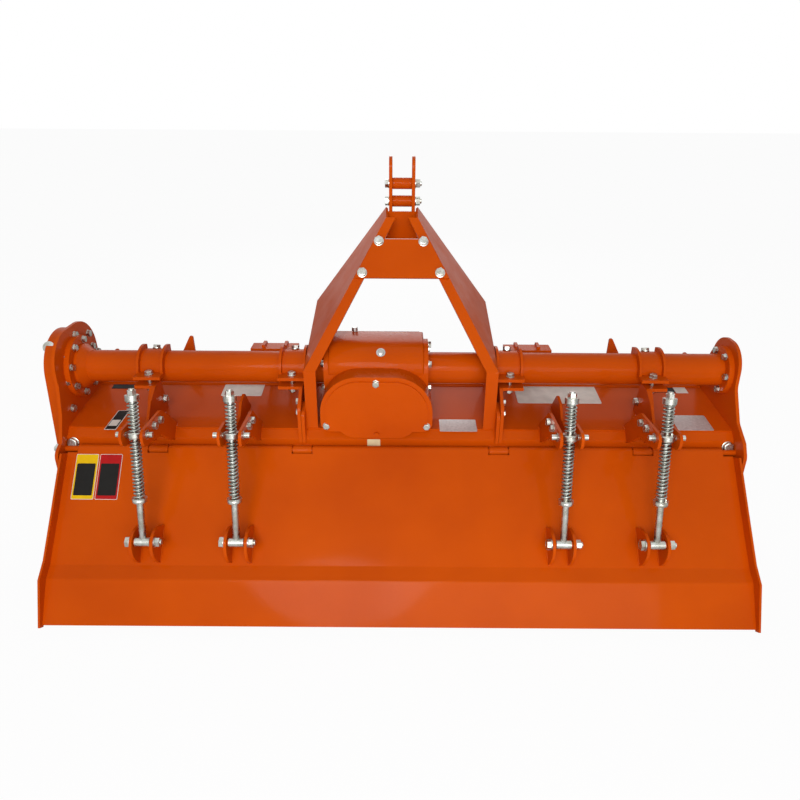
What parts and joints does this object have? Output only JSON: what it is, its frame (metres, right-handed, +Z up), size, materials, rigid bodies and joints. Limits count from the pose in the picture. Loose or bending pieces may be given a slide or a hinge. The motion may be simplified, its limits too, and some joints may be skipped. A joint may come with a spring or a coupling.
{
  "type": "rotavator",
  "caption": "Tractor-mounted rotavator: bladed rotor under a folded hood, side gear drive, A-frame mast, and a sprung trailing board hinged behind.",
  "frame": {"origin": "middle of the footprint, on the floor that the skids stand on", "axes": "+X to the right seen from behind, +Y ahead to the tractor, +Z up"},
  "size_m": [2.2, 0.8833, 1.231],
  "materials": {
    "orange_paint": "gloss",
    "zinc_plate": "satin",
    "bare_steel": "satin"
  },
  "bodies": {
    "frame": {"front_fins": "orange_paint", "gear_case": "orange_paint", "gear_case_cover": "orange_paint", "gearbox_cover": "orange_paint", "gearbox_housing": "orange_paint", "hinge_rod": "zinc_plate", "hood": "orange_paint", "lower_hitch_left": "orange_paint", "lower_hitch_right": "orange_paint", "main_tube_left": "orange_paint", "main_tube_right": "orange_paint", "mast_arm_left": "orange_paint", "mast_arm_right": "orange_paint", "mast_cap": "orange_paint", "mast_cross_plate": "orange_paint", "mast_ribs": "orange_paint", "rear_beam": "orange_paint", "rotor_hub": "orange_paint", "side_plate_left": "orange_paint", "side_plate_right": "orange_paint", "skid_left": "orange_paint", "skid_right": "orange_paint", "spring_bracket_1": "orange_paint", "spring_bracket_2": "orange_paint", "spring_bracket_3": "orange_paint", "spring_bracket_4": "orange_paint", "top_link_clevis": "orange_paint", "tube_clamps_inner": "orange_paint", "tube_clamps_outer": "orange_paint", "tube_supports_inner": "orange_paint", "tube_supports_outer": "orange_paint"},
    "rotor": {"rotor_shaft": "orange_paint", "blades_left": "orange_paint", "blades_right": "orange_paint"},
    "input_shaft": {"pto_shaft": "bare_steel"},
    "trailing_board": {"board": "orange_paint", "board_end_left": "orange_paint", "board_end_right": "orange_paint", "board_lug_1": "orange_paint", "board_lug_2": "orange_paint", "board_lug_3": "orange_paint", "board_lug_4": "orange_paint"},
    "trunnion_1": {"trunnion_1": "zinc_plate", "upper_spring_1": "zinc_plate"},
    "spring_rod_1": {"rod_1": "zinc_plate", "lower_spring_1": "zinc_plate"},
    "trunnion_2": {"trunnion_2": "zinc_plate", "upper_spring_2": "zinc_plate"},
    "spring_rod_2": {"rod_2": "zinc_plate", "lower_spring_2": "zinc_plate"},
    "trunnion_3": {"trunnion_3": "zinc_plate", "upper_spring_3": "zinc_plate"},
    "spring_rod_3": {"rod_3": "zinc_plate", "lower_spring_3": "zinc_plate"},
    "trunnion_4": {"trunnion_4": "zinc_plate", "upper_spring_4": "zinc_plate"},
    "spring_rod_4": {"rod_4": "zinc_plate", "lower_spring_4": "zinc_plate"}
  },
  "joints": [
    {"name": "rotor_spin", "type": "hinge", "parent": "frame", "child": "rotor", "pos_m": [0, 0.1416, 0.24], "axis": [1, 0, 0], "continuous": true},
    {"name": "input_spin", "type": "hinge", "parent": "frame", "child": "input_shaft", "pos_m": [0, 0.3916, 0.56], "axis": [0, 1, 0], "continuous": true},
    {"name": "board_swing", "type": "hinge", "parent": "frame", "child": "trailing_board", "pos_m": [0, -0.0824, 0.412], "axis": [-1, 0, 0], "range_deg": [-2, 22], "stiffness_Nm_per_rad": 4000, "springref_deg": 1.72, "deforming": ["lower_spring_1", "upper_spring_1", "lower_spring_2", "upper_spring_2", "lower_spring_3", "upper_spring_3", "lower_spring_4", "upper_spring_4"]},
    {"name": "trunnion_swing_1", "type": "hinge", "parent": "frame", "child": "trunnion_1", "pos_m": [-0.728, -0.2577, 0.5556], "axis": [-1, 0, 0], "range_deg": [-1.97, 16.69]},
    {"name": "rod_swing_1", "type": "hinge", "parent": "trailing_board", "child": "spring_rod_1", "pos_m": [-0.728, -0.3309, 0.251], "axis": [-1, 0, 0], "range_deg": [-6.31, 1.03]},
    {"name": "trunnion_swing_2", "type": "hinge", "parent": "frame", "child": "trunnion_2", "pos_m": [-0.463, -0.2577, 0.5556], "axis": [-1, 0, 0], "range_deg": [-1.97, 16.69]},
    {"name": "rod_swing_2", "type": "hinge", "parent": "trailing_board", "child": "spring_rod_2", "pos_m": [-0.463, -0.3309, 0.251], "axis": [-1, 0, 0], "range_deg": [-6.31, 1.03]},
    {"name": "trunnion_swing_3", "type": "hinge", "parent": "frame", "child": "trunnion_3", "pos_m": [0.463, -0.2577, 0.5556], "axis": [-1, 0, 0], "range_deg": [-1.97, 16.69]},
    {"name": "rod_swing_3", "type": "hinge", "parent": "trailing_board", "child": "spring_rod_3", "pos_m": [0.463, -0.3309, 0.251], "axis": [-1, 0, 0], "range_deg": [-6.31, 1.03]},
    {"name": "trunnion_swing_4", "type": "hinge", "parent": "frame", "child": "trunnion_4", "pos_m": [0.728, -0.2577, 0.5556], "axis": [-1, 0, 0], "range_deg": [-1.97, 16.69]},
    {"name": "rod_swing_4", "type": "hinge", "parent": "trailing_board", "child": "spring_rod_4", "pos_m": [0.728, -0.3309, 0.251], "axis": [-1, 0, 0], "range_deg": [-6.31, 1.03]}
  ],
  "couplings": [
    {"joint": "input_spin", "follows": "rotor_spin", "ratio": 2.6},
    {"joint": "trunnion_swing_1", "follows": "board_swing", "ratio": 0.736},
    {"joint": "rod_swing_1", "follows": "board_swing", "ratio": -0.264},
    {"joint": "trunnion_swing_2", "follows": "board_swing", "ratio": 0.736},
    {"joint": "rod_swing_2", "follows": "board_swing", "ratio": -0.264},
    {"joint": "trunnion_swing_3", "follows": "board_swing", "ratio": 0.736},
    {"joint": "rod_swing_3", "follows": "board_swing", "ratio": -0.264},
    {"joint": "trunnion_swing_4", "follows": "board_swing", "ratio": 0.736},
    {"joint": "rod_swing_4", "follows": "board_swing", "ratio": -0.264}
  ]
}
